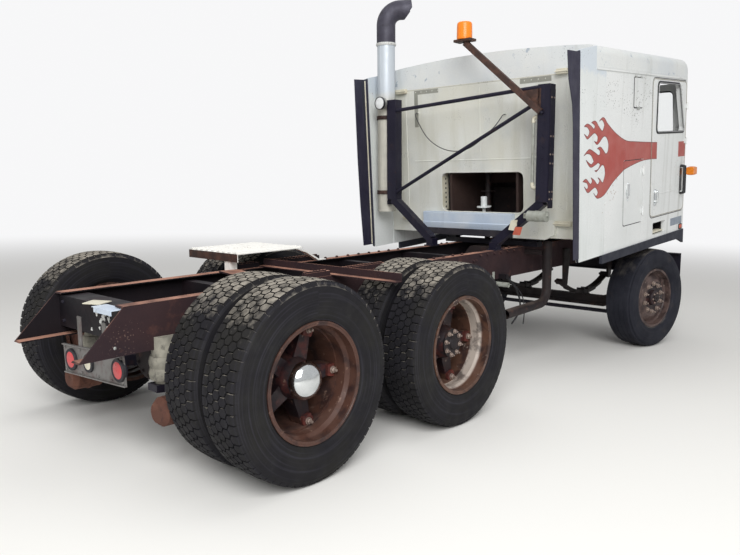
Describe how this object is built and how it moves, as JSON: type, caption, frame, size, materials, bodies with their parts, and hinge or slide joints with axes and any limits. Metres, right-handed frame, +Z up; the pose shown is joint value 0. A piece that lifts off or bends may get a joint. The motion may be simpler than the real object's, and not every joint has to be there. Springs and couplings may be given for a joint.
{
  "type": "semi truck tractor unit",
  "caption": "Six-wheeled cab-over tractor with a sleeper cab, twin-tyred drive axles, steered front wheels, tilting cab and opening doors.",
  "frame": {"origin": "middle of the footprint, on the ground", "axes": "+X forward along the vehicle, +Y to its left, +Z up"},
  "size_m": [6.4854, 2.5248, 3.4235],
  "materials": {
    "frame_paint": "rusty red-brown chassis paint",
    "black_metal": "matt black paint",
    "bare_iron": "dusty cast iron",
    "white_paint": "dusty white cab paint",
    "red_paint": "faded red paint",
    "wheel_paint": "worn pale wheel paint with rust",
    "tyre": "worn rubber",
    "rubber": "black rubber",
    "cable": "black sheath",
    "chrome": "dull chrome",
    "deck": "sun-bleached",
    "lens_red": "red lens",
    "lens_amber": "amber lens",
    "glass": "clear",
    "vinyl": "dark vinyl",
    "board": "brown painted board",
    "dark_plastic": "dark plastic",
    "aluminium": "dusty aluminium"
  },
  "bodies": {
    "chassis": {"frame_rails": "frame_paint", "crossmembers": "frame_paint", "tail_lamp_panel": "black_metal", "tail_lamps": "lens_red", "deck_plate": "deck", "deck_angles": "frame_paint", "drive_axles": "bare_iron", "brake_chambers": "bare_iron", "rear_suspension": "black_metal", "air_springs": "rubber", "driveshafts": "bare_iron", "engine_block": "bare_iron", "front_axle": "bare_iron", "front_springs": "bare_iron", "rack": "black_metal", "beacon": "lens_amber", "exhaust_stack": "aluminium", "stack_elbow": "black_metal", "work_lamp": "aluminium", "air_canister": "aluminium", "down_pipe": "bare_iron", "bumper": "black_metal", "cab_mounts": "black_metal", "hose_loose": "cable", "hose_long": "cable"},
    "cab": {"cab_roof": "white_paint", "cab_sides": "white_paint", "cab_front": "white_paint", "cab_back_wall": "white_paint", "cab_floor": "board", "side_fairings": "white_paint", "rubber_edges": "rubber", "windscreen": "glass", "seats": "vinyl", "bunk_boards": "board", "dashboard": "dark_plastic", "steering_wheel": "dark_plastic", "side_lamps": "lens_amber", "wall_cable": "cable"},
    "door_right": {"door_right": "white_paint"},
    "hatch_right": {"hatch_right": "white_paint"},
    "knuckle_right": {"knuckle_right": "bare_iron"},
    "front_wheel_right": {"front_wheel_right": "wheel_paint", "front_tyre_right": "tyre"},
    "mid_wheels_right": {"mid_wheel_right": "wheel_paint", "mid_tyres_right": "tyre"},
    "rear_wheels_right": {"rear_wheel_right": "wheel_paint", "rear_tyres_right": "tyre"},
    "door_left": {"door_left": "white_paint"},
    "hatch_left": {"hatch_left": "white_paint"},
    "knuckle_left": {"knuckle_left": "bare_iron"},
    "front_wheel_left": {"front_wheel_left": "wheel_paint", "front_tyre_left": "tyre"},
    "mid_wheels_left": {"mid_wheel_left": "wheel_paint", "mid_tyres_left": "tyre"},
    "rear_wheels_left": {"rear_wheel_left": "wheel_paint", "rear_tyres_left": "tyre"},
    "tie_rod": {"tie_rod": "black_metal"}
  },
  "joints": [
    {"name": "cab_tilt", "type": "hinge", "parent": "chassis", "child": "cab", "pos_m": [3.04554, 0, 1.15545], "axis": [0, 1, 0], "range_deg": [0, 50]},
    {"name": "door_right_hinge", "type": "hinge", "parent": "cab", "child": "door_right", "pos_m": [3.05056, -1.152, 2.06035], "axis": [-0.088, 0, 0.9961], "range_deg": [0, 70]},
    {"name": "hatch_right_hinge", "type": "hinge", "parent": "cab", "child": "hatch_right", "pos_m": [1.93748, -1.152, 1.58051], "axis": [-0.088, 0, 0.9961], "range_deg": [0, 95]},
    {"name": "door_left_hinge", "type": "hinge", "parent": "cab", "child": "door_left", "pos_m": [3.05056, 1.152, 2.06035], "axis": [-0.088, 0, 0.9961], "range_deg": [-70, 0]},
    {"name": "hatch_left_hinge", "type": "hinge", "parent": "cab", "child": "hatch_left", "pos_m": [1.93748, 1.152, 1.58051], "axis": [-0.088, 0, 0.9961], "range_deg": [-95, 0]},
    {"name": "steer_right", "type": "hinge", "parent": "chassis", "child": "knuckle_right", "pos_m": [2.45122, -0.93, 0.5], "axis": [0, 0, 1], "range_deg": [-24, 46]},
    {"name": "steer_left", "type": "hinge", "parent": "chassis", "child": "knuckle_left", "pos_m": [2.45122, 0.93, 0.5], "axis": [0, 0, 1], "range_deg": [-24, 46]},
    {"name": "tie_rod_joint", "type": "hinge", "parent": "knuckle_left", "child": "tie_rod", "pos_m": [2.25149, 0.87205, 0.324], "axis": [0, 0, 1], "range_deg": [-46, 24]},
    {"name": "front_wheel_right_spin", "type": "hinge", "parent": "knuckle_right", "child": "front_wheel_right", "pos_m": [2.45122, -0.93, 0.5], "axis": [0.1908, 0.9816, 0], "continuous": true},
    {"name": "front_wheel_left_spin", "type": "hinge", "parent": "knuckle_left", "child": "front_wheel_left", "pos_m": [2.45122, 0.93, 0.5], "axis": [0.1908, 0.9816, 0], "continuous": true},
    {"name": "rear_wheel_right_spin", "type": "hinge", "parent": "chassis", "child": "rear_wheels_right", "pos_m": [-2.36978, -1.065, 0.54], "axis": [0, 1, 0], "continuous": true},
    {"name": "rear_wheel_left_spin", "type": "hinge", "parent": "chassis", "child": "rear_wheels_left", "pos_m": [-2.36978, 1.065, 0.54], "axis": [0, 1, 0], "continuous": true},
    {"name": "mid_wheel_right_spin", "type": "hinge", "parent": "chassis", "child": "mid_wheels_right", "pos_m": [-1.04678, -1.065, 0.54], "axis": [0, 1, 0], "continuous": true},
    {"name": "mid_wheel_left_spin", "type": "hinge", "parent": "chassis", "child": "mid_wheels_left", "pos_m": [-1.04678, 1.065, 0.54], "axis": [0, 1, 0], "continuous": true}
  ],
  "couplings": [
    {"joint": "steer_left", "follows": "steer_right", "ratio": 1},
    {"joint": "tie_rod_joint", "follows": "steer_right", "ratio": -1}
  ]
}
